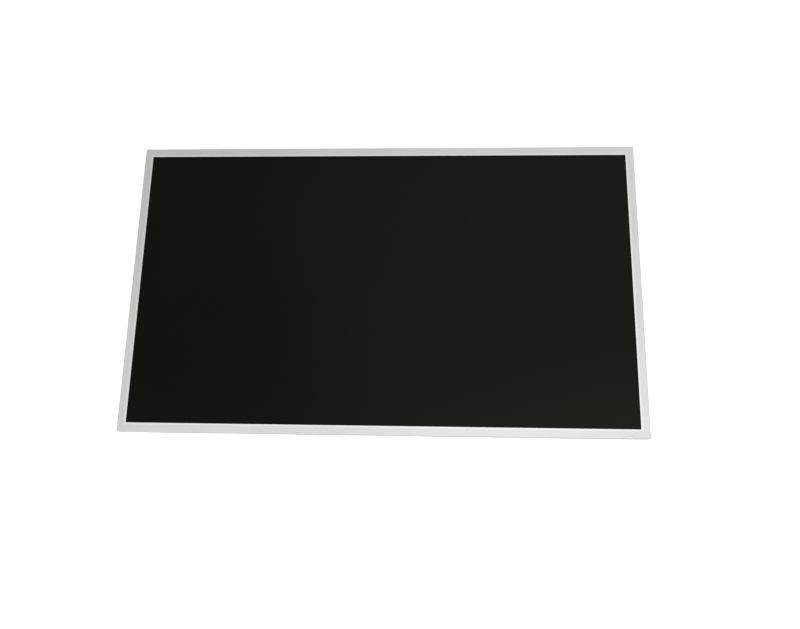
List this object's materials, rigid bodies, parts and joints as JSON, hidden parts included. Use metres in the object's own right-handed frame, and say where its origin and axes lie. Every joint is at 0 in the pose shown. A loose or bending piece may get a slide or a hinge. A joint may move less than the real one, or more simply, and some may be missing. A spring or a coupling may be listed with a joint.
{
  "type": "lcd screen panel",
  "caption": "Flat LED-backlit display module for a notebook: dark satin screen in a thin folded silver bezel, with driver board and signal socket behind.",
  "frame": {"origin": "middle of the rear rim's plane, which the module lies on", "axes": "+X along the width to the viewer's right, +Y to the top edge of the picture, +Z out of the screen"},
  "size_m": [0.3592, 0.2094, 0.0055],
  "materials": {
    "bezel_steel": "satin plated sheet",
    "white_frame": "moulded, fine texture",
    "rear_sheet": "rolled sheet",
    "brass_insert": "turned",
    "silver_tape": "metallised tape",
    "screen_face": "satin anti-glare",
    "cell_glass": "polished, dark",
    "polarizer_film": "satin",
    "black_tape": "matt tape",
    "silicone": "matt",
    "bare_chip": "polished silicon",
    "amber_film": "polyimide film",
    "board_laminate": "solder mask",
    "white_tape": "double-sided tape",
    "chip_package": "moulded epoxy",
    "ferrite": "ground ferrite",
    "capacitor_body": "tan ceramic, tinned ends",
    "resistor_body": "black, tinned ends",
    "connector_plastic": "moulded",
    "connector_metal": "tinned",
    "contact_metal": "gold flash",
    "clear_film": "clear polyester film",
    "clear_acrylic": "clear",
    "white_reflector": "white film",
    "optical_film": "translucent film",
    "white_flex": "white flexible circuit",
    "led_body": "moulded, phosphor face"
  },
  "bodies": {
    "root": {"front_bezel": "bezel_steel", "mould_frame": "white_frame", "back_cover": "rear_sheet", "side_nut_inserts": "brass_insert", "edge_tape_top": "silver_tape", "edge_tape_left": "silver_tape", "edge_tape_right": "silver_tape", "front_polarizer": "screen_face", "color_filter_glass": "cell_glass", "array_glass": "cell_glass", "rear_polarizer": "polarizer_film", "cell_gasket": "black_tape", "cell_side_pads": "silicone", "gate_driver_chips": "bare_chip", "source_films": "amber_film", "source_driver_chips": "bare_chip", "driver_board": "board_laminate", "board_tape": "white_tape", "timing_controller": "chip_package", "power_converter": "chip_package", "led_driver": "chip_package", "memory_chip": "chip_package", "gamma_buffer": "chip_package", "power_inductors": "ferrite", "chip_capacitors": "capacitor_body", "chip_resistors": "resistor_body", "signal_connector_housing": "connector_plastic", "signal_connector_shell": "connector_metal", "signal_contacts": "contact_metal", "board_cover_film": "clear_film", "light_guide": "clear_acrylic", "reflector_sheet": "white_reflector", "lower_diffuser": "optical_film", "lower_prism_sheet": "optical_film", "upper_prism_sheet": "optical_film", "upper_diffuser": "optical_film", "led_flex": "white_flex", "led_packages": "led_body", "led_reflector": "white_reflector"}
  },
  "joints": []
}
